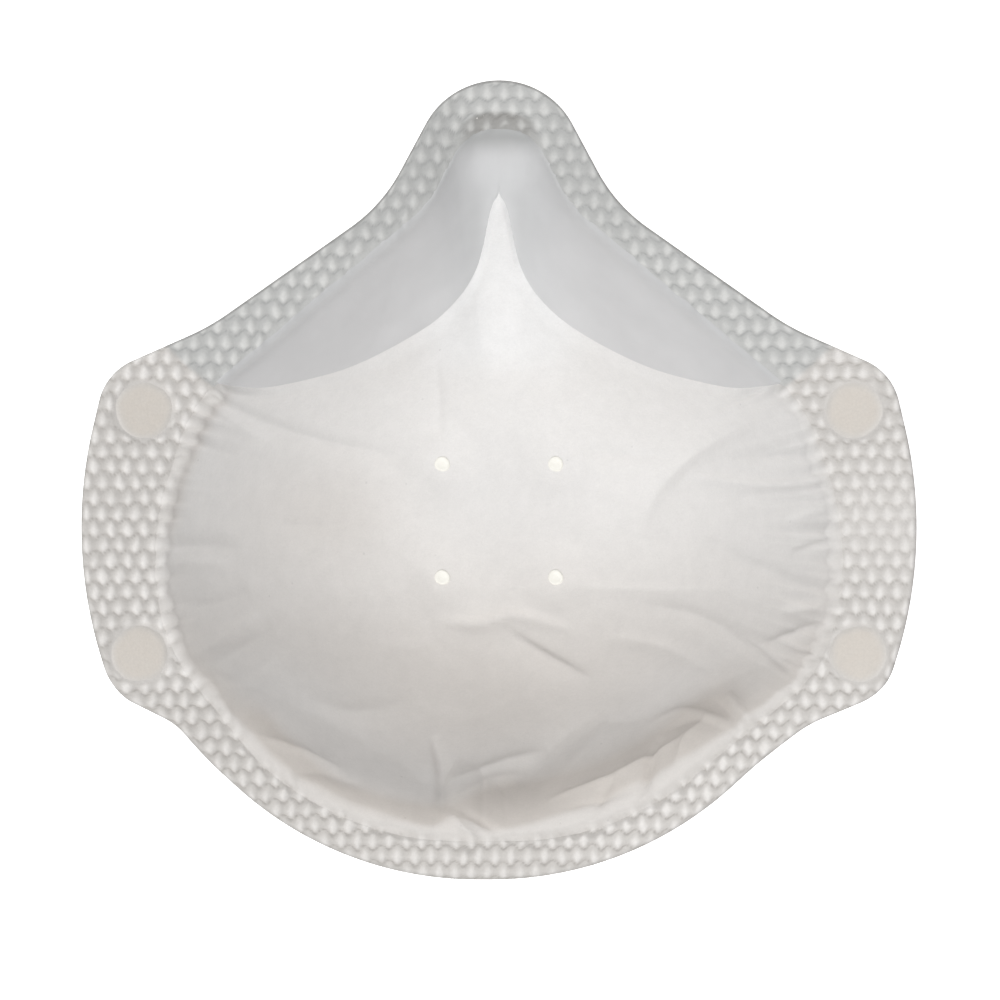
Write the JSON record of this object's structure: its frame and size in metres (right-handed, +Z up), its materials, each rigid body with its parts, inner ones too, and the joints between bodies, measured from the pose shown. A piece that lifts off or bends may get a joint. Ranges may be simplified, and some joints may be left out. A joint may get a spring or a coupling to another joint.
{
  "type": "disposable dust mask",
  "caption": "Moulded cup dust mask, open side up: stiff shell, filter and loose liner in a heat-embossed sealing rim, grey nose seal film, and elastic head straps under the rim",
  "frame": {"origin": "on the ground, under the middle of the mask's outline", "axes": "+X across the face to the viewer's right, +Y to the nose, +Z up and towards the wearer; the mask lies on the front of its cup"},
  "size_m": [0.1414, 0.136, 0.0517],
  "materials": {
    "shell_web": "moulded needle-felt, matt white",
    "filter_web": "soft electret fibre web",
    "liner_web": "soft spunbonded web, slightly creased",
    "embossed_rim": "heat-embossed and fused nonwoven",
    "seal_film": "smooth translucent grey film",
    "tack_spots": "fused cream-white spot",
    "fused_weld": "smooth fused weld, satin",
    "elastic": "flat woven elastic, cream"
  },
  "bodies": {
    "mask": {"outer_shell": "shell_web", "filter_media": "filter_web", "inner_liner": "liner_web", "sealing_rim": "embossed_rim", "nose_seal": "seal_film", "tack_welds": "tack_spots", "strap_weld_upper_left": "fused_weld", "strap_weld_upper_right": "fused_weld", "strap_weld_lower_left": "fused_weld", "strap_weld_lower_right": "fused_weld", "upper_strap_ends": "elastic", "lower_strap_ends": "elastic"},
    "upper_band": {"upper_strap": "elastic"},
    "lower_band": {"lower_strap": "elastic"}
  },
  "joints": [
    {"name": "upper_strap_fold", "type": "hinge", "parent": "mask", "child": "upper_band", "pos_m": [0, 0.0163, 0.0426], "axis": [1, 0, 0], "range_deg": [0, 85]},
    {"name": "lower_strap_fold", "type": "hinge", "parent": "mask", "child": "lower_band", "pos_m": [0, -0.034, 0.04195], "axis": [-1, 0, 0], "range_deg": [0, 85]}
  ]
}
